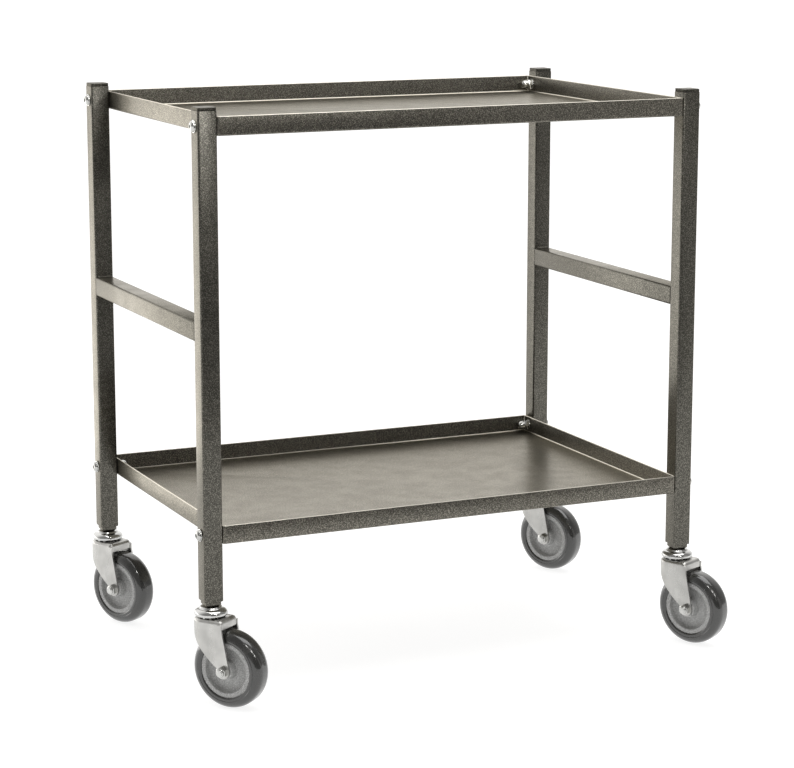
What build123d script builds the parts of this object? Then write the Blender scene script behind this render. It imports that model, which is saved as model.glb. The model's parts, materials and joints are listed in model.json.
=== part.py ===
from build123d import *

import os
from math import acos, atan2, cos, degrees, hypot, radians, sin, sqrt

# Two-shelf instrument cart: four square-tube legs, two folded sheet trays bolted between
# them, a welded rail on each short side, and four swivel casters without brakes.
# Millimetres, +Z up. X runs along the long sides and Y from the front to the back.
# The origin is on the floor, under the middle of the four legs.

# ---- Driving dimensions: frame ----
cart_length = 700.0  # over the outer faces of the legs
cart_width = 440.0  # over the outer faces of the legs
cart_height = 750.0  # floor to the top of the leg caps
tube_size = 25.0
tube_wall = 1.5
tube_corner = 2.0  # outer corner radius of every tube

cap_height = 4.0
cap_edge = 1.2
cap_plug_depth = 14.0
plug_clearance = 0.1  # per side, for what is pressed into a tube
plug_corner = 0.8

socket_size = 20.5  # the part of the caster socket that shows under the leg
socket_drop = 7.0
socket_corner = 1.5
socket_tip_size = 15.5
socket_taper = 2.5  # height of the tapered lower end
socket_depth = 32.0  # inside the tube

# ---- Driving dimensions: trays and rails ----
tray_lip = 24.0
tray_sheet = 1.5
tray_corner = 3.0
tray_bend = 2.5
upper_tray_drop = 11.0  # leg top down to the upper tray's lip
lower_tray_rise = 73.0  # foot of the leg tubes up to the lower tray's underside
rail_drop = 263.5  # leg top down to the rail's top
weld_leg = 2.6
weld_length = 20.0
weld_crest = 0.62  # how far the bead's middle stands out, as a share of its leg

# ---- Driving dimensions: tray fasteners, size M8 ----
bolt_radius = 4.0
bolt_hole_clearance = 0.25
thread_clearance = 0.05
bolt_engagement = 10.5  # length inside the domed nut
button_radius = 7.0
button_height = 4.4
button_round = 3.6
key_flats = 5.0
key_depth = 2.4
washer_radius = 8.0
washer_thickness = 1.6
nut_flats = 13.0
nut_hex_height = 6.5
nut_height = 15.0
nut_dome_radius = 6.2
nut_bore_depth = 12.0

# ---- Driving dimensions: casters ----
wheel_radius = 50.0
tyre_width = 30.0
tyre_round = 11.0
tyre_side_round = 1.5
rim_radius = 36.0  # where the tyre meets the hub
rim_ring = 5.0
rim_inset = 1.5  # tyre's side face to the hub's, per side
web_thickness = 9.0
boss_radius = 10.0
boss_gap = 0.5  # hub boss to fork leg, per side
hub_fillet = 3.0
hub_edge = 0.8
sleeve_radius = 6.0
sleeve_fit = 0.05  # radial running clearance of the hub on its sleeve
caster_trail = 28.5  # stem axis to axle
fork_sheet = 2.5
tyre_gap = 2.5  # tyre's side to the fork leg
fork_front = 20.0  # stem axis to the crown's front
fork_back = 27.0  # stem axis to the crown's back wall
fork_front_round = 16.0
fork_back_round = 6.0
fork_bend = 5.0  # outer radius between the crown and its walls
fork_top_gap = 14.0  # wheel top to crown top
wall_gap = 2.5  # wheel top to the lower edge of the crown's wall
fork_tip_radius = 9.25
tip_start_angle = 160.0
front_edge_bow = 4.3  # how far the legs' front edge bows in from its chord
stem_radius = 5.5
stem_length = 40.0  # above the swivel head
stem_chamfer = 1.0
kingpin_radius = 5.0
rivet_radius = 10.5
rivet_height = 3.0
swivel_gap = 0.3  # between the fixed and the turning swivel parts
head_radius = 21.3
head_top_radius = 12.5
head_height = 11.7
head_skirt = 3.5  # straight side of the swivel head
head_bulge = 0.72  # where the dome's arc passes, as a share of its width and height
head_gap = 1.3  # crown top to the swivel head's rim
ball_radius = 2.5
ball_circle = 15.5
ball_count = 12
ball_seat_depth = 1.2
ball_seat_clearance = 0.1
axle_radius = 4.0
axle_hole_clearance = 0.15
axle_head_height = 5.3
lock_nut_hex = 5.5
lock_nut_height = 8.0
lock_collar_radius = 5.4
axle_end = 0.6  # bolt thread past the lock nut

# Which way each wheel trails at rest, in degrees from +X.
rest_angles = {
    "front_left": -53.0,
    "front_right": -64.0,
    "back_left": -63.0,
    "back_right": -62.0,
}

# ---- Sizes that follow from them ----
leg_x = (cart_length - tube_size) / 2
leg_y = (cart_width - tube_size) / 2
leg_top_z = cart_height - cap_height
tube_inner = tube_size - 2 * tube_wall
tube_inner_corner = tube_corner - tube_wall
plug_size = tube_inner - 2 * plug_clearance

axle_z = wheel_radius
fork_width = tyre_width + 2 * (tyre_gap + fork_sheet)  # over the outer faces of its legs
fork_inner_half = fork_width / 2 - fork_sheet
crown_top_z = 2 * wheel_radius + fork_top_gap
crown_under_z = crown_top_z - fork_sheet
wall_bottom_z = 2 * wheel_radius + wall_gap
rivet_top_z = crown_under_z - swivel_gap
head_rim_z = crown_top_z + head_gap
head_top_z = head_rim_z + head_height
ball_z = crown_top_z + ball_radius - ball_seat_depth
leg_foot_z = head_top_z + socket_drop

tray_length = cart_length - 2 * tube_size
upper_lip_z = cart_height - upper_tray_drop
lower_lip_z = leg_foot_z + lower_tray_rise + tray_lip
bolt_heights = [lip - tray_lip / 2 for lip in (upper_lip_z, lower_lip_z)]
bolt_hole_radius = bolt_radius + bolt_hole_clearance
bolt_length = 2 * washer_thickness + tube_size + tray_sheet + bolt_engagement

rail_length = cart_width - 2 * tube_size
rail_top_z = cart_height - rail_drop
rail_z = rail_top_z - tube_size / 2

sides = {"left": -1, "right": 1}
corners = {
    "front_left": (-leg_x, -leg_y),
    "front_right": (leg_x, -leg_y),
    "back_left": (-leg_x, leg_y),
    "back_right": (leg_x, leg_y),
}


def save(part, name):
    part.label = name
    export_step(part, f"parts/{name}.step")
    print(f"{name}: {len(part.solids())} solid(s), {part.volume / 1000:.1f} cm3")


def hexagon(flats):
    """A regular hexagon given across its flats."""
    RegularPolygon(radius=flats / sqrt(3), side_count=6)


# ---- Legs, caps and caster sockets ----
def square_ring():
    RectangleRounded(tube_size, tube_size, tube_corner)
    RectangleRounded(tube_inner, tube_inner, tube_inner_corner, mode=Mode.SUBTRACT)


def make_leg(name, x, y):
    with BuildPart() as leg:
        with BuildSketch(Plane((x, y, leg_foot_z))):
            square_ring()
        extrude(amount=leg_top_z - leg_foot_z)
        with Locations(*[Plane((x, y, z), z_dir=(1, 0, 0)) for z in bolt_heights]):
            Hole(bolt_hole_radius)
    save(leg.part, f"leg_{name}")


def make_leg_cap(name, x, y):
    with BuildPart() as cap:
        with BuildSketch(Plane((x, y, leg_top_z))):
            RectangleRounded(tube_size, tube_size, tube_corner)
        extrude(amount=cap_height)
        fillet(cap.faces().sort_by(Axis.Z)[-1].edges(), radius=cap_edge)
        with BuildSketch(Plane((x, y, leg_top_z))):
            RectangleRounded(plug_size, plug_size, plug_corner)
        extrude(amount=-cap_plug_depth)
    save(cap.part, f"leg_cap_{name}")


def make_caster_socket(name, x, y):
    with BuildPart() as socket:
        with BuildSketch(Plane((x, y, head_top_z))):
            RectangleRounded(socket_tip_size, socket_tip_size, socket_corner)
        with BuildSketch(Plane((x, y, head_top_z + socket_taper))):
            RectangleRounded(socket_size, socket_size, socket_corner)
        loft()
        with BuildSketch(Plane((x, y, head_top_z + socket_taper))):
            RectangleRounded(socket_size, socket_size, socket_corner)
        extrude(amount=socket_drop - socket_taper)
        with BuildSketch(Plane((x, y, leg_foot_z))):
            RectangleRounded(plug_size, plug_size, plug_corner)
        extrude(amount=socket_depth)
        with Locations((x, y, leg_foot_z)):
            Hole(stem_radius + thread_clearance)
    save(socket.part, f"caster_socket_{name}")


# ---- Trays ----
def make_tray(name, lip_z):
    """A folded sheet tray: floor and four lips, welded at the corners."""
    with BuildPart() as tray:
        with BuildSketch(Plane.XY.offset(lip_z - tray_lip)):
            Rectangle(tray_length, cart_width)
        extrude(amount=tray_lip)
        fillet(tray.edges().filter_by(Axis.Z), radius=tray_corner)
        fillet(tray.faces().sort_by(Axis.Z)[0].edges(), radius=tray_bend)
        offset(amount=-tray_sheet, openings=tray.faces().sort_by(Axis.Z)[-1])
        bolt_z = lip_z - tray_lip / 2
        with Locations(*[Plane((0, y, bolt_z), z_dir=(1, 0, 0)) for y in (-leg_y, leg_y)]):
            Hole(bolt_hole_radius)
    save(tray.part, name)


# ---- Side rails and their welds ----
def make_side_rail(name, side):
    with BuildPart() as rail:
        end = Plane((side * leg_x, -rail_length / 2, rail_z), x_dir=(1, 0, 0), z_dir=(0, 1, 0))
        with BuildSketch(end):
            square_ring()
        extrude(amount=rail_length)
    save(rail.part, f"side_rail_{name}")


def make_rail_welds(name, side):
    """A short bead above and below each end of the rail."""
    planes = []
    for end in (-1, 1):
        for up in (-1, 1):
            corner = (side * leg_x, end * rail_length / 2, rail_z + up * tube_size / 2)
            planes.append(Plane(corner, x_dir=(0, -end, 0), z_dir=(-end * up, 0, 0)))
    crest = weld_crest * weld_leg
    with BuildPart() as welds:
        with BuildSketch(*planes):
            with BuildLine():
                Line((0, 0), (weld_leg, 0))
                ThreePointArc((weld_leg, 0), (crest, crest), (0, weld_leg))
                Line((0, weld_leg), (0, 0))
            make_face()
        extrude(amount=weld_length / 2, both=True)
    save(welds.part, f"rail_welds_{name}")


# ---- Tray fasteners: a bolt through each leg and lip, with washers and a domed nut ----
def fastener_planes(x, outward):
    """Planes at the same distance from the middle at both ends, facing outwards or inwards."""
    planes = []
    for side in (-1, 1):
        for y in (-leg_y, leg_y):
            for z in bolt_heights:
                planes.append(Plane((side * x, y, z), z_dir=(side * outward, 0, 0)))
    return planes


def make_tray_bolts():
    seats = fastener_planes(cart_length / 2 + washer_thickness, 1)
    crown_x = cart_length / 2 + washer_thickness + button_height
    with BuildPart() as bolts:
        with BuildSketch(*seats):
            Circle(bolt_radius)
        extrude(amount=-bolt_length)
        with BuildSketch(*seats):
            Circle(button_radius)
        extrude(amount=button_height)
        rims = bolts.edges().filter_by(lambda e: abs(abs(e.center().X) - crown_x) < 0.01)
        fillet(rims, radius=button_round)
        with BuildSketch(*[seat.offset(button_height) for seat in seats]):
            hexagon(key_flats)
        extrude(amount=-key_depth, mode=Mode.SUBTRACT)
    save(bolts.part, "tray_bolts")


def make_tray_nuts():
    seats = fastener_planes(tray_length / 2 - tray_sheet - washer_thickness, -1)
    dome_start = nut_height - nut_dome_radius
    with BuildPart() as nuts:
        with BuildSketch(*seats):
            hexagon(nut_flats)
        extrude(amount=nut_hex_height)
        with BuildSketch(*seats):
            Circle(nut_dome_radius)
        extrude(amount=dome_start)
        with Locations(*[seat.offset(dome_start) for seat in seats]):
            Sphere(nut_dome_radius)
        with BuildSketch(*seats):
            Circle(bolt_radius + thread_clearance)
        extrude(amount=nut_bore_depth, mode=Mode.SUBTRACT)
    save(nuts.part, "tray_nuts")


def make_tray_washers():
    outer = fastener_planes(cart_length / 2, 1)
    inner = fastener_planes(tray_length / 2 - tray_sheet, -1)
    with BuildPart() as washers:
        with BuildSketch(*outer, *inner):
            Circle(washer_radius)
            Circle(bolt_hole_radius, mode=Mode.SUBTRACT)
        extrude(amount=washer_thickness)
    save(washers.part, "tray_washers")


# ---- Casters. Each is drawn on its own plane: origin on the floor under the stem,
# local X towards the wheel, local Y along the axle. ----
def caster_plane(name):
    x, y = corners[name]
    angle = radians(rest_angles[name])
    return Plane((x, y, 0), x_dir=(cos(angle), sin(angle), 0))


def side_plane(seat):
    """The upright plane through the stem: local X towards the wheel, local Y up."""
    return Plane(seat.origin, x_dir=seat.x_dir, z_dir=-seat.y_dir)


def axle_centre(seat):
    return seat.from_local_coords((caster_trail, 0, axle_z))


def wheel_plane(seat):
    """The upright plane through the axle: local X along the axle, local Y up."""
    return Plane(axle_centre(seat), x_dir=seat.y_dir, z_dir=seat.x_dir)


def axle_plane(seat, along):
    """A plane across the axle, at a distance along it from the wheel's middle."""
    return Plane(axle_centre(seat) + seat.y_dir * along, x_dir=seat.x_dir, z_dir=seat.y_dir)


def make_caster_stem(seat, name):
    stem_top_z = head_top_z + stem_length
    rivet_bottom_z = rivet_top_z - rivet_height
    with BuildPart() as stem:
        with BuildSketch(side_plane(seat)):
            with BuildLine():
                Polyline(
                    (0, rivet_bottom_z),
                    (rivet_radius, rivet_bottom_z),
                    (rivet_radius, rivet_top_z),
                    (kingpin_radius, rivet_top_z),
                    (kingpin_radius, head_top_z),
                    (stem_radius, head_top_z),
                    (stem_radius, stem_top_z),
                    (0, stem_top_z),
                    close=True,
                )
            make_face()
        revolve(axis=Axis(seat.origin, (0, 0, 1)))
        chamfer(stem.faces().sort_by(Axis.Z)[-1].edges(), length=stem_chamfer)
        fillet(stem.faces().sort_by(Axis.Z)[0].edges(), radius=rivet_height / 2)
    save(stem.part, f"caster_stem_{name}")


def make_swivel_head(seat, name):
    """The pressed steel dome that covers the ball race."""
    shoulder_z = head_rim_z + head_skirt
    bulge_r = head_top_radius + head_bulge * (head_radius - head_top_radius)
    bulge_z = shoulder_z + head_bulge * (head_top_z - shoulder_z)
    with BuildPart() as head:
        with BuildSketch(side_plane(seat)):
            with BuildLine():
                Line((kingpin_radius, head_rim_z), (head_radius, head_rim_z))
                Line((head_radius, head_rim_z), (head_radius, shoulder_z))
                ThreePointArc(
                    (head_radius, shoulder_z), (bulge_r, bulge_z), (head_top_radius, head_top_z)
                )
                Line((head_top_radius, head_top_z), (kingpin_radius, head_top_z))
                Line((kingpin_radius, head_top_z), (kingpin_radius, head_rim_z))
            make_face()
        revolve(axis=Axis(seat.origin, (0, 0, 1)))
        with Locations(seat.offset(ball_z)):
            Torus(ball_circle, ball_radius + swivel_gap, mode=Mode.SUBTRACT)
    save(head.part, f"swivel_head_{name}")


def make_swivel_balls(seat, name):
    with BuildPart() as balls:
        with Locations(seat.offset(ball_z)):
            with PolarLocations(ball_circle, ball_count):
                Sphere(ball_radius)
    save(balls.part, f"swivel_balls_{name}")


def crown_outline(plane, inset, back, back_round):
    """The fork's outline from above, moved in by the given amount."""
    half = fork_width / 2 - inset
    front = inset - fork_front
    front_round = fork_front_round - inset
    with BuildSketch(plane) as outline:
        with BuildLine():
            FilletPolyline(
                (front, -half),
                (back, -half),
                (back, half),
                (front, half),
                radius=[front_round, back_round, back_round, front_round],
                close=True,
            )
        make_face()
    return outline.sketch


def leg_outline(plane):
    """The fork legs from the side: a straight back edge, a round tip and a bowed front edge."""
    tip = Vector(caster_trail, axle_z)
    back_top = Vector(fork_back, wall_bottom_z)
    front_top = Vector(-fork_front, wall_bottom_z)
    reach = back_top - tip
    tilt = degrees(atan2(reach.Y, reach.X) - acos(fork_tip_radius / hypot(reach.X, reach.Y)))
    back_tip = tip + Vector(fork_tip_radius, 0).rotate(Axis.Z, tilt)
    front_tip = tip + Vector(fork_tip_radius, 0).rotate(Axis.Z, tip_start_angle)
    chord = front_tip - front_top
    inward = Vector(chord.Y, -chord.X).normalized()
    bow = (front_top + front_tip) / 2 + inward * front_edge_bow
    top_z = crown_top_z - fork_bend
    with BuildSketch(plane) as outline:
        with BuildLine():
            Line(front_top, (-fork_front, top_z))
            Line((-fork_front, top_z), (fork_back, top_z))
            Line((fork_back, top_z), back_top)
            Line(back_top, back_tip)
            ThreePointArc(back_tip, tip - Vector(0, fork_tip_radius), front_tip)
            ThreePointArc(front_tip, bow, front_top)
        make_face()
    return outline.sketch


def make_fork(seat, name):
    """One pressed sheet: a round-fronted crown with a short wall, and two legs down to the axle."""
    tip_plane = seat.offset(axle_z - fork_tip_radius)
    wall_plane = seat.offset(wall_bottom_z)
    behind = fork_back + caster_trail  # past the legs, whose walls are open at the back
    leg_height = crown_top_z - axle_z + fork_tip_radius
    wall_height = crown_top_z - wall_bottom_z
    inner_back_round = fork_back_round - fork_sheet
    with BuildPart() as legs:
        extrude(crown_outline(tip_plane, 0, behind, inner_back_round), amount=leg_height)
        inner = crown_outline(tip_plane, fork_sheet, behind + fork_sheet, inner_back_round)
        extrude(inner, amount=leg_height, mode=Mode.SUBTRACT)
        extrude(leg_outline(side_plane(seat)), amount=fork_width, both=True, mode=Mode.INTERSECT)
    with BuildPart() as fork:
        extrude(crown_outline(wall_plane, 0, fork_back, fork_back_round), amount=wall_height)
        fillet(fork.faces().sort_by(Axis.Z)[-1].edges(), radius=fork_bend)
        inner = crown_outline(wall_plane, fork_sheet, fork_back - fork_sheet, inner_back_round)
        extrude(inner, amount=wall_height - fork_sheet, mode=Mode.SUBTRACT)
        add(legs.part)
        with Locations(seat.offset(crown_top_z)):
            Hole(kingpin_radius + swivel_gap)
        with Locations(seat.offset(ball_z)):
            Torus(ball_circle, ball_radius + ball_seat_clearance, mode=Mode.SUBTRACT)
        with Locations(axle_plane(seat, 0)):
            Hole(axle_radius + axle_hole_clearance)
    save(fork.part, f"fork_{name}")


def make_axle_bolt(seat, name):
    head_at = fork_width / 2
    length = fork_width + lock_nut_height + axle_end
    with BuildPart() as bolt:
        with BuildSketch(axle_plane(seat, head_at)):
            Circle(axle_radius)
        extrude(amount=-length)
        with BuildSketch(axle_plane(seat, head_at)):
            hexagon(nut_flats)
        extrude(amount=axle_head_height)
    save(bolt.part, f"axle_bolt_{name}")


def make_axle_nut(seat, name):
    with BuildPart() as nut:
        with BuildSketch(axle_plane(seat, -fork_width / 2)):
            hexagon(nut_flats)
        extrude(amount=-lock_nut_hex)
        with BuildSketch(axle_plane(seat, -fork_width / 2)):
            Circle(lock_collar_radius)
        extrude(amount=-lock_nut_height)
        with Locations(axle_plane(seat, -fork_width / 2)):
            Hole(axle_radius + thread_clearance)
    save(nut.part, f"axle_nut_{name}")


def make_axle_sleeve(seat, name):
    """The tube that the fork legs clamp, so that the hub turns freely on it."""
    with BuildPart() as sleeve:
        with BuildSketch(axle_plane(seat, -fork_inner_half)):
            Circle(sleeve_radius)
            Circle(axle_radius + axle_hole_clearance, mode=Mode.SUBTRACT)
        extrude(amount=2 * fork_inner_half)
    save(sleeve.part, f"axle_sleeve_{name}")


def make_wheel_hub(seat, name):
    boss_half = fork_inner_half - boss_gap
    web_half = web_thickness / 2
    ring_half = tyre_width / 2 - rim_inset
    ring_inner = rim_radius - rim_ring
    upper_side = [
        (boss_half, sleeve_radius + sleeve_fit),
        (boss_half, boss_radius),
        (web_half, boss_radius),
        (web_half, ring_inner),
        (ring_half, ring_inner),
        (ring_half, rim_radius),
    ]
    with BuildPart() as hub:
        with BuildSketch(wheel_plane(seat)) as profile:
            with BuildLine():
                Polyline(*upper_side, *[(-a, r) for a, r in reversed(upper_side)], close=True)
            make_face()
            web_corners = profile.vertices().filter_by(lambda v: abs(abs(v.X) - web_half) < 0.01)
            fillet(web_corners, radius=hub_fillet)
            edges = profile.vertices().filter_by(lambda v: v.Y > sleeve_radius + 1)
            outer = edges.filter_by(lambda v: abs(v.X) > web_half + hub_fillet + 0.1)
            fillet(outer.filter_by(lambda v: v.Y < rim_radius - 1), radius=hub_edge)
        revolve(axis=Axis(axle_centre(seat), seat.y_dir))
    save(hub.part, f"wheel_hub_{name}")


def make_tyre(seat, name):
    with BuildPart() as tyre:
        with BuildSketch(wheel_plane(seat)) as profile:
            with Locations((0, (wheel_radius + rim_radius) / 2)):
                Rectangle(tyre_width, wheel_radius - rim_radius)
            fillet(profile.vertices().group_by(Axis.Y)[-1], radius=tyre_round)
            fillet(profile.vertices().group_by(Axis.Y)[0], radius=tyre_side_round)
        revolve(axis=Axis(axle_centre(seat), seat.y_dir))
    save(tyre.part, f"tyre_{name}")


def make_caster(name):
    seat = caster_plane(name)
    make_caster_stem(seat, name)
    make_swivel_head(seat, name)
    make_swivel_balls(seat, name)
    make_fork(seat, name)
    make_axle_bolt(seat, name)
    make_axle_nut(seat, name)
    make_axle_sleeve(seat, name)
    make_wheel_hub(seat, name)
    make_tyre(seat, name)


os.makedirs("parts", exist_ok=True)

for corner_name, (corner_x, corner_y) in corners.items():
    make_leg(corner_name, corner_x, corner_y)
    make_leg_cap(corner_name, corner_x, corner_y)
    make_caster_socket(corner_name, corner_x, corner_y)
    make_caster(corner_name)

for side_name, side_sign in sides.items():
    make_side_rail(side_name, side_sign)
    make_rail_welds(side_name, side_sign)

make_tray("upper_tray", upper_lip_z)
make_tray("lower_tray", lower_lip_z)
make_tray_bolts()
make_tray_nuts()
make_tray_washers()
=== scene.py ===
# %% [markdown]
# # An instrument cart: square tube, folded trays and swivel casters
#
# The cart is a small trolley for a treatment room: four square legs, two sheet trays that are
# bolted between them, a welded rail on each short side and a caster under each leg. The sizes,
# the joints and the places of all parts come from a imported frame, so this lesson is about what
# the parts are made of and how their edges are finished. Everything is in metres.
#
# The first cell loads that frame and keeps the box that the whole cart fills.

# %% Load the frame
import json
from math import cos, pi, radians, sin, sqrt, tan

import bmesh
import bpy
from mathutils import Matrix, Vector


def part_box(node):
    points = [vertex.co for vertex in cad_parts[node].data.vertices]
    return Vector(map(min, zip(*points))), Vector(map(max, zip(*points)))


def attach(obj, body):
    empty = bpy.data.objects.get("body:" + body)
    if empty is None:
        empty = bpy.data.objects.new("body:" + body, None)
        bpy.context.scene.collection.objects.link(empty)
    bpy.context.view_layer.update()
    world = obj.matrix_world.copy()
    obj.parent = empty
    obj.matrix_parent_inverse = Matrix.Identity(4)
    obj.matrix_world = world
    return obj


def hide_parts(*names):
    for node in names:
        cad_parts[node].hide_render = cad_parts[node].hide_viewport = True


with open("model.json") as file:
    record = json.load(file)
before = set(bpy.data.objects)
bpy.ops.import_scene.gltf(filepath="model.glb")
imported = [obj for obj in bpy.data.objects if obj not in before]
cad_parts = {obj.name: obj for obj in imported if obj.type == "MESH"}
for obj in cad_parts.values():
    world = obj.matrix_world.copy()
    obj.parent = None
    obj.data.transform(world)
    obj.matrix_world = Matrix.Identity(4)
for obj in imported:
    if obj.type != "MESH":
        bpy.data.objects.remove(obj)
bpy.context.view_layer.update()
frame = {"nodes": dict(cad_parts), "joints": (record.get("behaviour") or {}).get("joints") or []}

nodes = frame["nodes"]
joints = {joint["name"]: joint for joint in frame["joints"]}
corners = ["front_left", "front_right", "back_left", "back_right"]
MM = 0.001

# %% [markdown]
# ## Finishes
#
# A finish is a tree of nodes around one Principled shader. Six helpers keep the trees short:
# they start a material, add a node, add a noise, spread its middle range, mix two tones and
# add a relief. The noise is read in Object coordinates. All pieces sit at the origin with
# their place in their mesh, so these are metres in the cart's frame, and a scale of 500 means
# grains of about 2 mm.

# %% Helpers for node trees
def new_finish(name, color, metallic, roughness, **sockets):
    """A material whose even values stand on the shader's own sockets."""
    finish = bpy.data.materials.new(name)
    finish.use_nodes = True
    shader = finish.node_tree.nodes["Principled BSDF"]
    shader.inputs["Base Color"].default_value = (*color, 1)
    shader.inputs["Metallic"].default_value = metallic
    shader.inputs["Roughness"].default_value = roughness
    for socket, value in sockets.items():
        shader.inputs[socket.replace("_", " ")].default_value = value
    finish.diffuse_color = (*color, 1)
    return finish, finish.node_tree, shader


def add_node(tree, kind, inputs=(), **settings):
    node = tree.nodes.new(kind)
    for setting, value in settings.items():
        setattr(node, setting, value)
    for socket, value in dict(inputs).items():
        node.inputs[socket].default_value = value
    return node


def noise(tree, scale, detail=2.0, roughness=0.5, stretch=(1, 1, 1)):
    """A noise in metres: scale is about one over the size of a grain."""
    place = add_node(tree, "ShaderNodeTexCoord")
    mapping = add_node(tree, "ShaderNodeMapping", {"Scale": stretch})
    grain = add_node(
        tree, "ShaderNodeTexNoise", {"Scale": scale, "Detail": detail, "Roughness": roughness}
    )
    tree.links.new(place.outputs["Object"], mapping.inputs["Vector"])
    tree.links.new(mapping.outputs["Vector"], grain.inputs["Vector"])
    return grain.outputs["Fac"]


def spread(tree, value, low, high, to_low=0.0, to_high=1.0):
    """Stretches a noise's middle range over new limits."""
    ranged = add_node(
        tree,
        "ShaderNodeMapRange",
        {"From Min": low, "From Max": high, "To Min": to_low, "To Max": to_high},
        interpolation_type="SMOOTHSTEP",
    )
    tree.links.new(value, ranged.inputs["Value"])
    return ranged.outputs["Result"]


def two_tones(tree, share, dark, light):
    """A colour between two tones, by a share from 0 to 1."""
    mix = add_node(tree, "ShaderNodeMix", data_type="RGBA")
    mix.inputs[6].default_value = (*dark, 1)
    mix.inputs[7].default_value = (*light, 1)
    tree.links.new(share, mix.inputs[0])
    return mix.outputs[2]


def bump(tree, shader, height, distance, strength=1.0, over=None):
    """A small relief, distance metres deep, on top of another one if that is given."""
    relief = add_node(tree, "ShaderNodeBump", {"Strength": strength, "Distance": distance})
    tree.links.new(height, relief.inputs["Height"])
    if over is not None:
        tree.links.new(over.outputs["Normal"], relief.inputs["Normal"])
    tree.links.new(relief.outputs["Normal"], shader.inputs["Normal"])
    return relief


# %% [markdown]
# ### Hammertone paint
#
# The tubes, trays and caps wear a bronze-grey hammertone enamel. While it dries, the paint pulls
# itself into shallow dimples one or two millimetres wide, with aluminium flakes gathered in
# them and dark resin left on the ridges between. Smooth Voronoi cells are the right pattern for
# that: their middles are the dimples. A noise first bends the coordinates, because a clean
# Voronoi looks like a honeycomb. The resin on top is a clear coat.

# %% Hammertone paint
# The light tone of a painted highlight: the narrow rounded edges of the trays take it, as if light
# caught them.
EDGE_HIGHLIGHT_TONE = (0.72, 0.69, 0.61)


def hammertone(name, dark, light, grazing=(1.0, 0.96, 0.88), cell=1.45 * MM):
    finish, tree, shader = new_finish(
        name, light, 0.9, 0.36, Coat_Weight=0.12, Coat_Roughness=0.18, Coat_IOR=1.5
    )
    shader.inputs["Specular Tint"].default_value = (*grazing, 1)
    place = add_node(tree, "ShaderNodeTexCoord")
    wander = add_node(tree, "ShaderNodeTexNoise", {"Scale": 0.6 / cell, "Detail": 1.0})
    shift = add_node(tree, "ShaderNodeVectorMath", operation="MULTIPLY_ADD")
    shift.inputs[1].default_value = (1.1 * cell,) * 3
    cells = add_node(
        tree,
        "ShaderNodeTexVoronoi",
        {"Scale": 1 / cell, "Smoothness": 0.4, "Randomness": 1.0},
        feature="SMOOTH_F1",
    )
    tree.links.new(place.outputs["Object"], wander.inputs["Vector"])
    tree.links.new(wander.outputs["Color"], shift.inputs[0])
    tree.links.new(place.outputs["Object"], shift.inputs[2])
    tree.links.new(shift.outputs["Vector"], cells.inputs["Vector"])
    ridge = spread(tree, cells.outputs["Distance"], 0.15, 0.6)
    flakes = spread(tree, noise(tree, 1.6 / cell, 3.0), 0.3, 0.7, 0.25, 1.1)
    shade = add_node(tree, "ShaderNodeMath", operation="MULTIPLY_ADD", use_clamp=True)
    shade.inputs[1].default_value = -0.7
    tree.links.new(ridge, shade.inputs[0])
    tree.links.new(flakes, shade.inputs[2])
    speckle = two_tones(tree, shade.outputs["Value"], dark, light)
    # Faces marked edge_glint, the narrow rounded edges of the trays, take the light tone: a painted
    # highlight.
    painted_edge_highlight = add_node(tree, "ShaderNodeMix", data_type="RGBA")
    painted_edge_highlight.inputs[7].default_value = (*EDGE_HIGHLIGHT_TONE, 1)
    edge = add_node(tree, "ShaderNodeAttribute", attribute_name="edge_glint")
    tree.links.new(edge.outputs["Fac"], painted_edge_highlight.inputs[0])
    tree.links.new(speckle, painted_edge_highlight.inputs[6])
    tree.links.new(painted_edge_highlight.outputs[2], shader.inputs["Base Color"])
    polish = spread(tree, noise(tree, 35.0), 0.3, 0.7, 0.29, 0.36)
    tree.links.new(polish, shader.inputs["Roughness"])
    bump(tree, shader, ridge, 0.05 * MM, 0.5)
    print(name, "has", len(tree.nodes), "nodes")
    return finish


frame_paint = hammertone("hammertone_frame", (0.06, 0.0575, 0.049), (0.27, 0.257, 0.22))
tray_paint = hammertone("hammertone_tray", (0.08, 0.077, 0.066), (0.41, 0.38, 0.318))
cap_paint = hammertone(
    "hammertone_cap", (0.04, 0.038, 0.032), (0.16, 0.152, 0.13), grazing=(0.6, 0.58, 0.53)
)

# %% [markdown]
# ### Zinc, chrome and bare steel
#
# The forks are pressed steel with a satin zinc plate, which is never quite even: broad soft
# clouds change its gloss. The bolts and nuts have a brighter zinc, and the swivel heads are
# polished before they are plated, so they mirror the room. All are metals with metallic at 1,
# and their tone, their roughness and a faint relief tell them apart.

# %% Metal finishes
def plated(name, color, polish, cloud_scale, grain_depth, stretch=(1, 1, 1)):
    """A plated metal: polish is its lowest and highest roughness."""
    finish, tree, shader = new_finish(name, color, 1.0, polish[0])
    cloud = noise(tree, cloud_scale, 3.0, stretch=stretch)
    tree.links.new(spread(tree, cloud, 0.35, 0.65, *polish), shader.inputs["Roughness"])
    darker = tuple(0.8 * channel for channel in color)
    tones = two_tones(tree, spread(tree, noise(tree, 0.4 * cloud_scale), 0.3, 0.7), darker, color)
    tree.links.new(tones, shader.inputs["Base Color"])
    bump(tree, shader, noise(tree, 900.0, 2.0), grain_depth, 0.5)
    return finish


fork_zinc = plated(
    "satin_zinc", (0.55, 0.545, 0.525), (0.24, 0.40), 90.0, 0.02 * MM, stretch=(1, 1, 0.25)
)
bright_zinc = plated("bright_zinc", (0.60, 0.60, 0.58), (0.06, 0.16), 160.0, 0.01 * MM)
head_chrome = plated("polished_plate", (0.62, 0.62, 0.61), (0.06, 0.13), 90.0, 0.006 * MM)
turned_steel = plated("turned_steel", (0.42, 0.42, 0.41), (0.28, 0.4), 200.0, 0.02 * MM)

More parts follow.
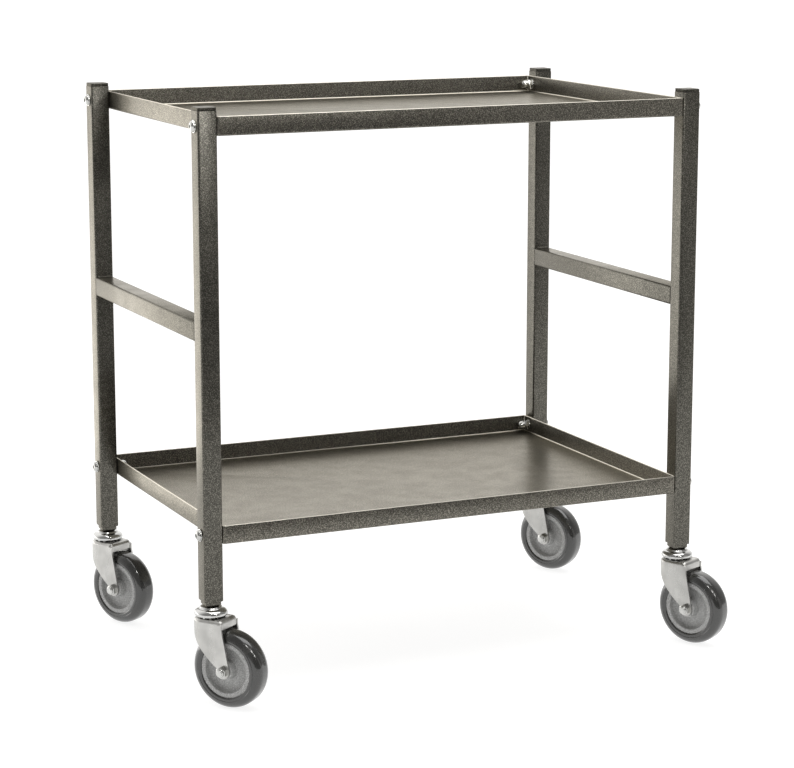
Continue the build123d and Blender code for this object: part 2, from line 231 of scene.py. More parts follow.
# %% [markdown]
# ### Hub plastic and tyre
#
# The hub is moulded grey plastic with a fine spark-eroded texture, so it is matt with tiny
# bright points. The tyre is a dark, smooth elastomer with a gloss like wet rubber, on which a
# little dust has settled: the dust is lighter and matt, in thin broken patches.

# %% Hub and tyre finishes
hub_plastic, tree, shader = new_finish("hub_plastic", (0.235, 0.235, 0.23), 0.0, 0.42)
speckle = spread(tree, noise(tree, 900.0, 3.0), 0.35, 0.7)
tree.links.new(
    two_tones(tree, speckle, (0.26, 0.26, 0.255), (0.56, 0.56, 0.55)), shader.inputs["Base Color"]
)
bump(tree, shader, noise(tree, 1100.0, 3.0), 0.05 * MM, 0.6)

tyre_rubber, tree, shader = new_finish(
    "tyre_rubber", (0.045, 0.045, 0.042), 0.0, 0.22, Coat_Weight=1.0, Coat_Roughness=0.05
)
dust = spread(tree, noise(tree, 45.0, 6.0, 0.65), 0.5, 0.8)
tree.links.new(
    two_tones(tree, dust, (0.026, 0.026, 0.024), (0.055, 0.053, 0.048)), shader.inputs["Base Color"]
)
matt = spread(tree, noise(tree, 45.0, 6.0, 0.65), 0.45, 0.85, 0.2, 0.5)
tree.links.new(matt, shader.inputs["Roughness"])
bump(tree, shader, noise(tree, 420.0, 2.0), 0.03 * MM, 0.1)
print("finishes:", [finish.name for finish in bpy.data.materials])

# %% [markdown]
# ## How the pieces are made
#
# Each piece starts as a bmesh, takes its shape by a few operators and ends as an object that
# rides on a body of the frame. The helper below does that last step for all of them: it merges
# doubles, turns the faces outwards, marks what is sharp, gives the finish and says which node
# of the frame the piece stands for. On the trays it also marks the narrow faces along the
# rounded edges with a face attribute, and the paint lightens them there: a painted highlight,
# the fine line of light that rounded edges catch.

# %% From bmesh to a finished piece
def narrow(mesh, face):
    """How narrow a face is: its area over its longest side."""
    spots = [mesh.vertices[index].co for index in face.vertices]
    return face.area / max((a - b).length for a, b in zip(spots, spots[1:] + spots[:1]))


def finish_piece(bm, name, body, finish, stands_for=(), sharp=32.0, edge_width=0.0):
    bmesh.ops.remove_doubles(bm, verts=bm.verts, dist=0.00001)
    bmesh.ops.recalc_face_normals(bm, faces=bm.faces)
    mesh = bpy.data.meshes.new(name)
    bm.to_mesh(mesh)
    bm.free()
    mesh.shade_smooth()
    mesh.set_sharp_from_angle(angle=radians(sharp))
    # Narrow faces are marked so that the paint gives them a painted highlight.
    if edge_width:
        glint = mesh.attributes.new("edge_glint", "FLOAT", "FACE")
        for face in mesh.polygons:
            glint.data[face.index].value = float(narrow(mesh, face) < edge_width)
    mesh.materials.append(finish)
    piece = bpy.data.objects.new(name, mesh)
    bpy.context.scene.collection.objects.link(piece)
    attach(piece, body)
    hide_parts(*stands_for)
    return piece


def moved_up(bm, made, step, grow=(1, 1, 1), about=(0, 0, 0)):
    """Moves what an extrusion made, and scales it about a point."""
    fresh = [part for part in made["geom"] if isinstance(part, bmesh.types.BMVert)]
    bmesh.ops.translate(bm, verts=fresh, vec=step)
    bmesh.ops.scale(bm, verts=fresh, vec=grow, space=Matrix.Translation(-Vector(about)))
    return fresh


def sharp_edges(bm, angle=50.0, keep=lambda edge: True):
    """The edges whose two faces turn by more than an angle."""
    return [
        edge
        for edge in bm.edges
        if len(edge.link_faces) == 2
        and edge.calc_face_angle(0) > radians(angle)
        and keep(edge)
    ]


def round_off(bm, edges, radius, segments=3):
    bmesh.ops.bevel(
        bm,
        geom=edges,
        offset=radius,
        segments=segments,
        profile=0.5,
        affect="EDGES",
        offset_type="OFFSET",
        clamp_overlap=True,
        material=-1,
    )


# %% [markdown]
# ## Legs and rails: rounded square tube
#
# Welded square tube has round corners, because it is rolled from a round one, and a wall that
# shows at its cut ends. One face does it: its four corners are bevelled as points, an inset
# makes the wall, and the ring is extruded to length. A cube would need the same bevels and
# would still be solid. The cut ends get a small burr-free edge, which catches the light as a
# fine line.

# %% Square tube
TUBE_WALL = 1.5 * MM
TUBE_CORNER = 2.4 * MM
CUT_EDGE = 0.9 * MM


def square_tube(size, length):
    """A tube along +Z from the origin."""
    bm = bmesh.new()
    bmesh.ops.create_grid(bm, x_segments=1, y_segments=1, size=size / 2)
    bmesh.ops.bevel(
        bm, geom=bm.verts[:], offset=TUBE_CORNER, segments=6, profile=0.5,
        affect="VERTICES", material=-1,
    )
    bmesh.ops.inset_region(bm, faces=bm.faces[:], thickness=TUBE_WALL, use_boundary=True)
    inside = max(bm.faces, key=lambda face: face.calc_area())
    bmesh.ops.delete(bm, geom=[inside], context="FACES")
    made = bmesh.ops.extrude_face_region(bm, geom=bm.faces[:])
    moved_up(bm, made, (0, 0, length))
    bmesh.ops.recalc_face_normals(bm, faces=bm.faces)
    ends = sharp_edges(bm, keep=lambda edge: abs(edge.verts[0].co.z - edge.verts[1].co.z) < 1e-6)
    round_off(bm, ends, CUT_EDGE, 2)
    return bm


def put(bm, matrix):
    bmesh.ops.transform(bm, matrix=matrix, verts=bm.verts)
    return bm


for corner in corners:
    low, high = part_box(f"leg_{corner}")
    middle = (low + high) / 2
    leg = square_tube(high.x - low.x, high.z - low.z)
    put(leg, Matrix.Translation((middle.x, middle.y, low.z)))
    finish_piece(
        leg, f"leg_tube_{corner}", "cart_frame", frame_paint, [f"leg_{corner}"]
    )

for side in ("left", "right"):
    low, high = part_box(f"side_rail_{side}")
    middle = (low + high) / 2
    rail = square_tube(high.z - low.z, high.y - low.y)
    put(rail, Matrix.Translation((middle.x, high.y, middle.z)) @ Matrix.Rotation(pi / 2, 4, "X"))
    finish_piece(
        rail, f"rail_tube_{side}", "cart_frame", frame_paint, [f"side_rail_{side}"]
    )
print("four legs and two rails")

# %% [markdown]
# ## Leg caps
#
# A push-in cap closes each leg. It is as wide as the tube, its rim is rounded, and a fine
# groove stays open where it meets the cut end. The groove is what makes it read as a separate
# part, so the cap is held off the tube by a narrower neck.

# %% Caps
GROOVE = 0.25 * MM
NECK_INSET = 0.8 * MM
CAP_MARGIN = 0.4 * MM
CAP_RIM = 0.7 * MM


def rounded_square(size, corner):
    bm = bmesh.new()
    bmesh.ops.create_grid(bm, x_segments=1, y_segments=1, size=size / 2)
    bmesh.ops.bevel(
        bm, geom=bm.verts[:], offset=corner, segments=5, profile=0.5, affect="VERTICES", material=-1
    )
    return bm


for corner in corners:
    tube_low, tube_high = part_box(f"leg_{corner}")
    low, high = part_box(f"leg_cap_{corner}")
    middle = (tube_low + tube_high) / 2
    cap = rounded_square(tube_high.x - tube_low.x - 2 * CAP_MARGIN, TUBE_CORNER)
    bmesh.ops.inset_region(cap, faces=cap.faces[:], thickness=CAP_RIM, use_boundary=True)
    made = bmesh.ops.extrude_face_region(cap, geom=cap.faces[:])
    moved_up(cap, made, (0, 0, high.z - tube_high.z - GROOVE))
    bmesh.ops.recalc_face_normals(cap, faces=cap.faces)
    rim = sharp_edges(cap, keep=lambda edge: min(v.co.z for v in edge.verts) > 1 * MM)
    round_off(cap, rim, CAP_RIM * 0.8, 4)
    under = min(cap.faces, key=lambda face: (face.calc_center_median().z, -face.calc_area()))
    bmesh.ops.inset_region(cap, faces=[under], thickness=NECK_INSET)
    moved_up(cap, bmesh.ops.extrude_face_region(cap, geom=[under]), (0, 0, -4 * GROOVE))
    put(cap, Matrix.Translation((middle.x, middle.y, tube_high.z + GROOVE)))
    finish_piece(
        cap, f"cap_{corner}", "cart_frame", cap_paint, [f"leg_cap_{corner}"]
    )
print("four caps")

# %% [markdown]
# ## Caster sockets
#
# Under each leg shows the end of the insert that holds the caster's stem. It is a little
# smaller than the tube and its last millimetres taper. The same rounded square is extruded
# three times, and the last step is scaled towards its middle.

# %% Sockets
SOCKET_CORNER = 1.5 * MM
SOCKET_TAPER = 2.5 * MM
SOCKET_SHOWS = 20.5 * MM
SOCKET_TIP = 15.5 * MM

for corner in corners:
    tube_low, tube_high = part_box(f"leg_{corner}")
    low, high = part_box(f"caster_socket_{corner}")
    middle = (tube_low + tube_high) / 2
    socket = rounded_square(SOCKET_SHOWS, SOCKET_CORNER)
    straight = tube_low.z - low.z - SOCKET_TAPER
    down = bmesh.ops.extrude_face_region(socket, geom=socket.faces[:])
    moved_up(socket, down, (0, 0, -straight))
    end = min(socket.faces, key=lambda face: face.calc_center_median().z)
    down = bmesh.ops.extrude_face_region(socket, geom=[end])
    tip = SOCKET_TIP / SOCKET_SHOWS
    moved_up(socket, down, (0, 0, -SOCKET_TAPER), (tip, tip, 1))
    bmesh.ops.delete(socket, geom=[f for f in socket.faces if f.calc_center_median().z > -1e-6],
                     context="FACES_ONLY")
    plug_rim = [edge for edge in socket.edges if len(edge.link_faces) == 1]
    wall = bmesh.ops.extrude_edge_only(socket, edges=plug_rim)
    wide = (high.x - low.x) / SOCKET_SHOWS
    moved_up(socket, wall, (0, 0, 0), (wide, wide, 1))
    plug_rim = [edge for edge in socket.edges if len(edge.link_faces) == 1]
    wall = bmesh.ops.extrude_edge_only(socket, edges=plug_rim)
    moved_up(socket, wall, (0, 0, high.z - tube_low.z))
    bmesh.ops.holes_fill(socket, edges=[edge for edge in socket.edges if len(edge.link_faces) == 1])
    bmesh.ops.recalc_face_normals(socket, faces=socket.faces)
    round_off(socket, sharp_edges(socket, 35), 0.4 * MM, 2)
    put(socket, Matrix.Translation((middle.x, middle.y, tube_low.z)))
    finish_piece(
        socket, f"socket_{corner}", "cart_frame", frame_paint,
        [f"caster_socket_{corner}"],
    )
print("four sockets")

# %% [markdown]
# ## Trays
#
# A tray is one sheet with its four edges folded up and its corners welded and ground. So it is
# made as a sheet: one face, its border extruded upwards, the four upright corners and then the
# fold rounded, and only at the end a thickness. Because the wall comes last, the inner radius
# is smaller than the outer one by the sheet's thickness, as in a real bend.

# %% Trays
SHEET = 1.5 * MM
CORNER_ROUND = 3.0 * MM
BEND = 2.6 * MM
LIP_ROUND = 0.7 * MM


def folded_tray(low, high):
    bm = bmesh.new()
    bmesh.ops.create_grid(bm, x_segments=1, y_segments=1, size=0.5)
    size = high - low
    bmesh.ops.scale(bm, verts=bm.verts, vec=(size.x, size.y, 1))
    border = [edge for edge in bm.edges if edge.is_boundary]
    lips = bmesh.ops.extrude_edge_only(bm, edges=border)
    moved_up(bm, lips, (0, 0, size.z))
    upright = [e for e in bm.edges if abs(e.verts[0].co.z - e.verts[1].co.z) > size.z / 2]
    round_off(bm, upright, CORNER_ROUND, 6)
    bmesh.ops.recalc_face_normals(bm, faces=bm.faces)
    fold = sharp_edges(bm, keep=lambda edge: max(v.co.z for v in edge.verts) < 1e-6)
    round_off(bm, fold, BEND, 6)
    bmesh.ops.recalc_face_normals(bm, faces=bm.faces)
    floor_face = max(bm.faces, key=lambda face: face.calc_area())
    if floor_face.normal.z > 0:
        bmesh.ops.reverse_faces(bm, faces=bm.faces)
    bmesh.ops.solidify(bm, geom=bm.faces[:], thickness=SHEET)
    bmesh.ops.recalc_face_normals(bm, faces=bm.faces)
    rim = sharp_edges(bm, keep=lambda edge: min(v.co.z for v in edge.verts) > size.z - 1e-5)
    round_off(bm, rim, LIP_ROUND, 4)
    put(bm, Matrix.Translation(((low.x + high.x) / 2, (low.y + high.y) / 2, low.z)))
    return bm


for tray in ("upper_tray", "lower_tray"):
    sheet = folded_tray(*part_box(tray))
    piece = finish_piece(
        sheet, f"{tray}_sheet", "cart_frame", tray_paint, [tray],
        # Faces narrower than this are the rounded edges, which the paint lightens as a painted
        # highlight.
        edge_width=0.4 * MM,
    )
    print(piece.name, "spans", [round(x, 4) for x in piece.dimensions])

# %% [markdown]
# ## Turned parts: a lathe for bmesh
#
# Washers, domes, hubs, tyres and swivel heads are all bodies of revolution. An outline of a
# few points is drawn as a wire in the XZ plane, each corner is eased by a point bevel, and a
# full spin with use_merge closes it. Easing the wire first gives clean rings of faces, where
# a bevel after the spin would have to find its edges again.

# %% The lathe
def lathe(outline, steps=48, closed=False, segments=4):
    """Spins (radius, height, ease) points round Z. Ease is how far back from a corner it starts."""
    bm = bmesh.new()
    points = [bm.verts.new((radius, 0, height)) for radius, height, ease in outline]
    for start, end in zip(points, points[1:]):
        bm.edges.new((start, end))
    if closed:
        bm.edges.new((points[-1], points[0]))
    for point, (radius, height, ease) in zip(points, outline):
        if ease:
            bmesh.ops.bevel(
                bm, geom=[point], offset=ease, segments=segments, profile=0.5,
                affect="VERTICES", material=-1,
            )
    bmesh.ops.spin(
        bm, geom=bm.verts[:] + bm.edges[:], axis=(0, 0, 1), cent=(0, 0, 0), angle=2 * pi,
        steps=steps, use_merge=True,
    )
    bmesh.ops.remove_doubles(bm, verts=bm.verts, dist=0.00001)
    bmesh.ops.recalc_face_normals(bm, faces=bm.faces)
    return bm


def mirrored(half):
    """Adds the other side of an outline that is the same on both."""
    return half + [(radius, -height, ease) for radius, height, ease in reversed(half)]


def add_to(bm, other, matrices):
    """Copies one bmesh into another at each of the given places."""
    other.faces.ensure_lookup_table()
    for matrix in matrices:
        mesh = bpy.data.meshes.new("copy")
        other.to_mesh(mesh)
        mesh.transform(matrix)
        bm.from_mesh(mesh)
        bpy.data.meshes.remove(mesh)
    other.free()
    return bm


# %% [markdown]
# ## Hexagons
#
# The corners of a nut are cut by a shallow cone, and it is that curved chamfer that catches
# the light. The hexagon is a circle of six edges, divided so that each side can bend. Its
# upper ring follows the cone: the further a point is from the axis, the lower it sits.

# %% Chamfered hexagons
HEX_STEPS = 6
CONE = tan(radians(30))
LAND = 0.47  # radius of the flat top, as a share of the width over the flats


def hexagon(flats, height):
    """A nut or bolt head along +Z, chamfered on top."""
    bm = bmesh.new()
    bmesh.ops.create_circle(bm, segments=6, radius=flats / sqrt(3))
    bmesh.ops.subdivide_edges(bm, edges=bm.edges[:], cuts=HEX_STEPS - 1)
    land = LAND * flats
    foot = bm.edges[:]
    wall = moved_up(bm, bmesh.ops.extrude_edge_only(bm, edges=foot), (0, 0, height))
    for point in wall:
        point.co.z -= CONE * max(0.0, Vector(point.co.xy).length - land)
    rim = [edge for edge in bm.edges if all(v in wall for v in edge.verts)]
    for point in moved_up(bm, bmesh.ops.extrude_edge_only(bm, edges=rim), (0, 0, 0)):
        flat = Vector(point.co.xy).normalized() * land
        point.co = (flat.x, flat.y, height)
    bmesh.ops.holes_fill(bm, edges=[edge for edge in bm.edges if edge.is_boundary])
    bmesh.ops.recalc_face_normals(bm, faces=bm.faces)
    return bm


# %% [markdown]
# ## Tray fasteners
#
# Each corner of a tray hangs on one bolt: a low button head with a hexagon socket outside the
# leg, and a domed nut inside the lip, each on a washer. Head and socket are two loops with the
# same number of points, one round and one hexagonal, joined by bridge_loops.

# %% Button-head bolts, domed nuts and washers
WASHER = (4.25 * MM, 8.0 * MM, 1.6 * MM)
BUTTON = (7.0 * MM, 4.4 * MM)
KEY_FLATS = 5.0 * MM
KEY_DEPTH = 2.4 * MM
NUT_FLATS = 13.0 * MM
NUT_HEX = 6.5 * MM
NUT_HEIGHT = 15.0 * MM
DOME = 6.0 * MM


def button_head():
    radius, height = BUTTON
    mouth = 3.5 * MM
    bm = lathe(
        [(4 * MM, 0, 0), (radius, 0, 0.4 * MM), (radius * 0.97, height * 0.3, 0.8 * MM),
         (radius * 0.78, height * 0.86, 1.6 * MM), (mouth, height, 0)],
        steps=6 * HEX_STEPS,
    )
    circle = [e for e in bm.edges if e.is_boundary and e.verts[0].co.z > height / 2]
    made = bmesh.ops.create_circle(bm, segments=6, radius=KEY_FLATS / sqrt(3))
    key = list({edge for vert in made["verts"] for edge in vert.link_edges})
    bmesh.ops.subdivide_edges(bm, edges=key, cuts=HEX_STEPS - 1)
    key = [e for e in bm.edges if not e.link_faces]
    bmesh.ops.translate(bm, verts=list({v for e in key for v in e.verts}), vec=(0, 0, height))
    bmesh.ops.bridge_loops(bm, edges=circle + key)
    sunk = bmesh.ops.extrude_edge_only(bm, edges=key)
    moved_up(bm, sunk, (0, 0, -KEY_DEPTH))
    bmesh.ops.holes_fill(bm, edges=[edge for edge in bm.edges if edge.is_boundary])
    bmesh.ops.recalc_face_normals(bm, faces=bm.faces)
    return bm


def domed_nut():
    bm = hexagon(NUT_FLATS, NUT_HEX)
    dome_z = NUT_HEIGHT - DOME
    turn = [radians(step * 90 / 8) for step in range(9)]
    dome = [(DOME, NUT_HEX - 1 * MM, 0)]
    dome += [(DOME * cos(a), dome_z + DOME * sin(a), 0) for a in turn]
    return add_to(bm, lathe(dome, steps=32), [Matrix()])


def washer():
    hole, rim, thick = WASHER
    ease = 0.35 * MM
    return lathe(
        [(hole, 0, ease), (rim, 0, ease), (rim, thick, ease), (hole, thick, ease)],
        steps=40, closed=True, segments=2,
    )


def bolt_places(outside):
    """Where the bolts pass the outer face of the legs, or the inner face of the lips."""
    places = []
    for tray in ("upper_tray", "lower_tray"):
        low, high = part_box(tray)
        for corner in corners:
            leg_low, leg_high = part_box(f"leg_{corner}")
            side = 1 if corner.endswith("right") else -1
            face = max(abs(leg_low.x), abs(leg_high.x)) if outside else high.x - SHEET
            spot = Vector((side * face, (leg_low.y + leg_high.y) / 2, (low.z + high.z) / 2))
            turn = Matrix.Rotation(side * (1 if outside else -1) * pi / 2, 4, "Y")
            places.append(Matrix.Translation(spot) @ turn)
    return places


raised = Matrix.Translation((0, 0, WASHER[2]))
bolts = add_to(bmesh.new(), button_head(), [place @ raised for place in bolt_places(True)])
finish_piece(bolts, "button_bolts", "cart_frame", bright_zinc, ["tray_bolts"])
nuts = add_to(bmesh.new(), domed_nut(), [place @ raised for place in bolt_places(False)])
finish_piece(nuts, "domed_nuts", "cart_frame", bright_zinc, ["tray_nuts"])
washers = add_to(bmesh.new(), washer(), bolt_places(True) + bolt_places(False))
finish_piece(washers, "flat_washers", "cart_frame", bright_zinc, ["tray_washers"])
print("eight bolts, eight nuts and sixteen washers")

# %% [markdown]
# ## Weld beads
#
# The rails are welded to the legs by a short bead above and below each end. A bead is a row
# of overlapping drops, so it is turned on the lathe too: its radius goes up and down along
# its length, and more than half of it lies inside the tubes.

# %% Rail welds
BEAD = 2.5 * MM
RIPPLES = 9


def weld_bead(length):
    steps = 4 * RIPPLES
    outline = [(0, -length / 2, 0)]
    for step in range(steps + 1):
        share = step / steps
        swell = BEAD * (0.86 + 0.14 * abs(sin(pi * RIPPLES * share)))
        end = min(1.0, 6 * min(share, 1 - share) + 0.45)
        outline.append((swell * end, length * (share - 0.5), 0))
    outline.append((0, length / 2, 0))
    return lathe(outline, steps=20)


for side in ("left", "right"):
    low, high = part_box(f"rail_welds_{side}")
    rail_low, rail_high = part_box(f"side_rail_{side}")
    middle = (rail_low.x + rail_high.x) / 2
    lying = Matrix.Rotation(pi / 2, 4, "Y")
    spots = [(middle, y, z) for y in (rail_low.y, rail_high.y) for z in (rail_low.z, rail_high.z)]
    bead = weld_bead(high.x - low.x)
    beads = add_to(bmesh.new(), bead, [Matrix.Translation(spot) @ lying for spot in spots])
    finish_piece(
        beads, f"weld_beads_{side}", "cart_frame", frame_paint,
        [f"rail_welds_{side}"], sharp=60,
    )
print("eight weld beads")

# %% [markdown]
# ## Casters
#
# Each caster is modelled in its own axes, with X towards the wheel, Y along the axle and the
# origin on the floor under the stem, and is then placed by the two joints that the frame
# gives it. So one set of outlines serves all four, whichever way they trail.

# %% Where a caster stands
def caster_place(corner):
    stem = Vector(joints[f"swivel_{corner}"]["pos_m"])
    wheel = Vector(joints[f"wheel_spin_{corner}"]["pos_m"])
    ahead = (wheel - stem).xy
    turn = Vector((1, 0)).angle_signed(ahead)
    return Matrix.Translation((stem.x, stem.y, 0)) @ Matrix.Rotation(-turn, 4, "Z")


def axle_place(corner, along=0.0):
    """On the axle, with Z along it: away from the lock nut's side if along is positive."""
    wheel = Vector(joints[f"wheel_spin_{corner}"]["pos_m"])
    stem = Vector(joints[f"swivel_{corner}"]["pos_m"])
    local = Matrix.Translation(((wheel - stem).xy.length, along, wheel.z))
    return caster_place(corner) @ local @ Matrix.Rotation(-pi / 2, 4, "X")


# %% [markdown]
# ### Tyre and hub
#
# The tyre is a smooth band with round shoulders and a fine moulded line on each side wall.
# The hub stands a little back from it: a raised ring, a deep recess with a dished web, and a
# boss in the middle. The side of the ring and the boss slope a little, as anything that
# leaves a mould must.

# %% Tyres and hubs
TYRE_OUTER = 50.0 * MM
TYRE_HALF = 15.0 * MM
SHOULDER = 11.0 * MM
RIM = 36.0 * MM
BORE = 6.05 * MM
BOSS_FACE = 17.0 * MM
RING_FACE = 13.5 * MM

tyre_half = [
    (RIM - 0.5 * MM, 13.9 * MM, 0),
    (RIM + 0.6 * MM, TYRE_HALF - 0.3 * MM, 0.9 * MM),
    (RIM + 3.6 * MM, TYRE_HALF, 0.6 * MM),
    (RIM + 4.2 * MM, TYRE_HALF - 0.6 * MM, 0.25 * MM),
]
for step in range(1, 10):
    turn = radians(10 * step)
    out, along = SHOULDER * (sin(turn) - 1), SHOULDER * (cos(turn) - 1)
    tyre_half.append((TYRE_OUTER + out, TYRE_HALF + along, 0))
hub_half = [
    (BORE, BOSS_FACE, 0.3 * MM),
    (11.6 * MM, BOSS_FACE, 0.8 * MM),
    (12.4 * MM, 6.0 * MM, 1.5 * MM),
    (21.0 * MM, 4.6 * MM, 3.0 * MM),
    (28.6 * MM, 5.6 * MM, 2.2 * MM),
    (29.5 * MM, 12.9 * MM, 0.5 * MM),
    (30.3 * MM, RING_FACE, 0.4 * MM),
    (35.2 * MM, RING_FACE, 0.5 * MM),
    (RIM - 0.2 * MM, 12.6 * MM, 0),
]

for corner in corners:
    body = f"caster_wheel_{corner}"
    tyre = put(lathe(mirrored(tyre_half), steps=112, closed=True, segments=6), axle_place(corner))
    finish_piece(
        tyre, f"tyre_band_{corner}", body, tyre_rubber, [f"tyre_{corner}"], sharp=40
    )
    hub = put(lathe(mirrored(hub_half), steps=96, closed=True), axle_place(corner))
    finish_piece(
        hub, f"hub_{corner}", body, hub_plastic, [f"wheel_hub_{corner}"], sharp=40
    )
print("four wheels")

# %% [markdown]
# ### Swivel head
#
# The pressed dome over the ball race has a flat collar round the socket, a soft shoulder and
# an edge that is rolled under. Polished plate shows every change of curve, so the outline has
# a point for each of them.

# %% Swivel heads
HEAD_BORE = 5.2 * MM
HEAD_FOOT = 0.15 * MM

for corner in corners:
    low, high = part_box(f"swivel_head_{corner}")
    wide = (high.x - low.x) / 2
    tall = high.z - low.z
    outline = [
        (HEAD_BORE, HEAD_FOOT, 0),
        (wide - 2.4 * MM, HEAD_FOOT, 0.5 * MM),
        (wide - 0.5 * MM, 0.9 * MM, 0.9 * MM),
        (wide, 0.36 * tall, 1.8 * MM),
        (wide - 2.2 * MM, 0.68 * tall, 2.6 * MM),
        (14.6 * MM, 0.80 * tall, 1.2 * MM),
        (13.6 * MM, tall, 0.9 * MM),
        (HEAD_BORE, tall, 0),
    ]
    head = lathe(outline, steps=72, closed=True, segments=5)
    stem = joints[f"swivel_{corner}"]["pos_m"]
    put(head, Matrix.Translation((stem[0], stem[1], low.z)))
    finish_piece(
        head, f"race_cover_{corner}", "cart_frame", head_chrome,
        [f"swivel_head_{corner}"], sharp=50,
    )
print("four swivel heads")

# %% [markdown]
# ### Fork
#
# The fork is one pressed sheet with bends in two directions, and the frame already holds that
# shape exactly. A copy of its mesh is cleaned instead of drawing it again: doubles are merged
# and the flat stretches lose their inner edges.

# %% Forks
for corner in corners:
    fork = bmesh.new()
    fork.from_mesh(nodes[f"fork_{corner}"].data)
    bmesh.ops.remove_doubles(fork, verts=fork.verts, dist=0.00001)
    bmesh.ops.dissolve_limit(
        fork, angle_limit=radians(0.6), verts=fork.verts, edges=fork.edges, delimit={"NORMAL"}
    )
    piece = finish_piece(
        fork, f"pressed_fork_{corner}", f"caster_fork_{corner}", fork_zinc,
        [f"fork_{corner}"], sharp=28,
    )
print("four forks of", len(piece.data.polygons), "faces")

# %% [markdown]
# ### Axle bolt and lock nut
#
# The axle is a bolt through both legs of the fork. Its head is chamfered on top, and the lock
# nut ends in a round collar that holds its nylon ring, with the end of the thread just showing.

# %% Axle bolts and lock nuts
AXLE = 4.0 * MM
HEAD_HEIGHT = 5.3 * MM
LOCK_HEX = 5.5 * MM
LOCK_HEIGHT = 8.0 * MM
COLLAR = 5.6 * MM
THREAD_END = 0.6 * MM
FORK_HALF = 20.0 * MM
BOLT_END = -2 * FORK_HALF - LOCK_HEIGHT - THREAD_END
LOCK_OVERLAP = 1 * MM

over = Matrix.Rotation(pi, 4, "X")
for corner in corners:
    body = f"caster_fork_{corner}"
    bolt = add_to(hexagon(NUT_FLATS, HEAD_HEIGHT), lathe(
        [(0, BOLT_END, 0), (AXLE, BOLT_END, 0.5 * MM), (AXLE, 0.1 * MM, 0)],
        steps=24), [Matrix()])
    put(bolt, axle_place(corner, FORK_HALF))
    finish_piece(
        bolt, f"axle_{corner}", body, bright_zinc, [f"axle_bolt_{corner}"]
    )
    collar = lathe(
        [(AXLE, LOCK_HEX - LOCK_OVERLAP, 0), (COLLAR, LOCK_HEX - LOCK_OVERLAP, 0),
         (COLLAR, LOCK_HEIGHT, 1.3 * MM), (AXLE, LOCK_HEIGHT, 0)],
        steps=36, closed=True,
    )
    nut = add_to(hexagon(NUT_FLATS, LOCK_HEX), collar, [Matrix()])
    put(nut, axle_place(corner, -FORK_HALF) @ over)
    finish_piece(
        nut, f"lock_nut_{corner}", body, bright_zinc, [f"axle_nut_{corner}"]
    )
print("four axles")

# %% [markdown]
# ### Hidden steel
#
# The stems, the balls of the swivel races and the axle sleeves keep the frame's own meshes,
# because little of them shows between the other parts. They only need their metal.

# %% Stems, balls and sleeves
for name, node in nodes.items():
    if name.startswith(("caster_stem", "axle_sleeve")):
        metal = turned_steel
    elif name.startswith("swivel_balls"):
        metal = head_chrome
    else:
        continue
    node.data.materials.clear()
    node.data.materials.append(metal)

# %% [markdown]
# ## Camera, light and floor
#
# The camera stands in front of the cart, a little to its left and above its top, with a long
# lens, as catalogue pictures are taken. The floor is plain and pale, and glows a little so
# that it stays white. A wide soft box above the cart gives the plain light. Metal and gloss
# show what they mirror, so the rest is boards that only reflections see: two grey ones in
# front for the dark front faces, a bright one behind on the left for the pale sides, and
# three small bright squares for the highlights on chrome, zinc and rubber. Lamps could do
# this too, but they would also light the floor and the paint.

# %% Camera
CAMERA_PLACE = (-1.3867, -3.0701, 1.0116)
CAMERA_TURN = 24.51
CAMERA_TILT = 11.20
CAMERA_LENS = 114.18

camera = bpy.data.objects.new("camera", bpy.data.cameras.new("camera"))
camera.data.lens = CAMERA_LENS
camera.data.sensor_width = 36.0
camera.location = CAMERA_PLACE
camera.rotation_euler = (radians(90 - CAMERA_TILT), 0, radians(-CAMERA_TURN))
bpy.context.scene.collection.objects.link(camera)
bpy.context.scene.camera = camera
print("camera at", CAMERA_PLACE, "with a lens of", CAMERA_LENS, "mm")

# %% Floor
FLOOR_GAP = 0.5 * MM  # keeps the floor and the tyres from sharing a plane

floor_mesh = bmesh.new()
bmesh.ops.create_circle(floor_mesh, cap_ends=True, segments=96, radius=40.0)
mesh = bpy.data.meshes.new("floor")
floor_mesh.to_mesh(mesh)
floor_mesh.free()
floor = bpy.data.objects.new("floor", mesh)
floor.location.z = -FLOOR_GAP
bpy.context.scene.collection.objects.link(floor)
pale, tree, shader = new_finish("pale_floor", (0.35, 0.35, 0.347), 0.0, 0.85)
shader.inputs["Emission Color"].default_value = (1, 1, 1, 1)
shader.inputs["Emission Strength"].default_value = 0.84
tree.links.new(spread(tree, noise(tree, 8.0), 0.2, 0.8, 0.8, 0.9), shader.inputs["Roughness"])
mesh.materials.append(pale)

# %% Lights
def soft_box(name, place, target, width, height, watts):
    light = bpy.data.objects.new(name, bpy.data.lights.new(name, "AREA"))
    light.data.shape = "RECTANGLE"
    light.data.size = width
    light.data.size_y = height
    light.data.energy = watts
    light.location = place
    aim = Vector(target) - Vector(place)
    light.rotation_euler = aim.to_track_quat("-Z", "Y").to_euler()
    bpy.context.scene.collection.objects.link(light)
    return light


soft_box("overhead", (0.4, -0.4, 2.6), (0.4, -0.4, 0), 2.4, 2.0, 42)


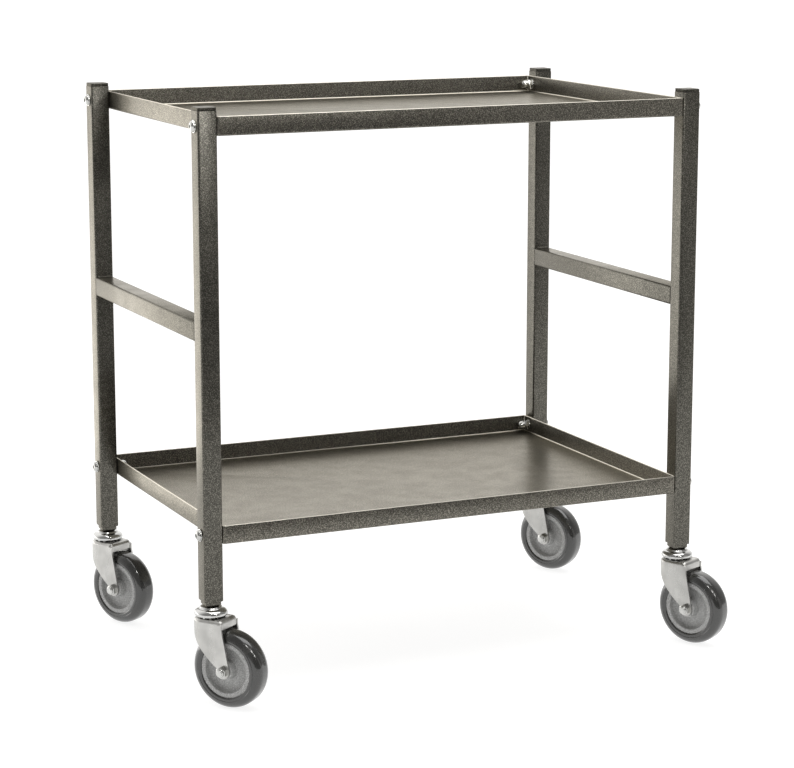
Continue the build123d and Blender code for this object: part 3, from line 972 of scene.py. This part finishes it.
def card(name, place, turn, width, length, glow):
    """A board that only reflections see: the paint and the plating mirror it."""
    bm = bmesh.new()
    bmesh.ops.create_grid(bm, x_segments=1, y_segments=1, size=0.5)
    bmesh.ops.scale(bm, verts=bm.verts, vec=(width, length, 1))
    mesh = bpy.data.meshes.new(name)
    bm.to_mesh(mesh)
    bm.free()
    board = bpy.data.objects.new(name, mesh)
    board.location = place
    board.rotation_euler = [radians(angle) for angle in turn]
    board.visible_camera = board.visible_diffuse = board.visible_shadow = False
    finish, tree, shader = new_finish(name, (0, 0, 0), 0.0, 1.0)
    shader.inputs["Specular IOR Level"].default_value = 0.0
    shader.inputs["Emission Color"].default_value = (1, 0.985, 0.96, 1)
    shader.inputs["Emission Strength"].default_value = glow
    mesh.materials.append(finish)
    bpy.context.scene.collection.objects.link(board)


card("grey_card", (0.05, -1.95, 0.75), (-46, 0, 0), 1.7, 2.1, 0.15)
card("light_grey_card", (1.75, -1.95, 0.75), (-46, 0, 0), 1.7, 2.1, 0.6)
card("bright_card", (-1.83, 2.4, 0.62), (17, 0, CAMERA_TURN), 1.7, 4.1, 2.7)

LAMP_SIZE = 0.28
LAMP_GLOW = 20.0
LAMP_PLACES = [(-0.75, -1.8, 2.0), (-0.1, -2.1, 1.6), (0.3, -2.3, 1.25)]
for number, place in enumerate(LAMP_PLACES):
    card(f"lamp_{number + 1}", place, (46, 0, 0), LAMP_SIZE, LAMP_SIZE, LAMP_GLOW)

world = bpy.data.worlds.new("studio")
bpy.context.scene.world = world
world.use_nodes = True
sky = world.node_tree
backdrop = sky.nodes["Background"]
direction = add_node(sky, "ShaderNodeTexCoord")
parts = add_node(sky, "ShaderNodeSeparateXYZ")
sky.links.new(direction.outputs["Generated"], parts.inputs["Vector"])
glow = spread(sky, parts.outputs["Y"], -0.3, 0.8, 0.3, 1.3)
sky.links.new(glow, backdrop.inputs["Strength"])
backdrop.inputs["Color"].default_value = (1, 0.99, 0.975, 1)
bpy.context.scene.view_settings.view_transform = "Standard"
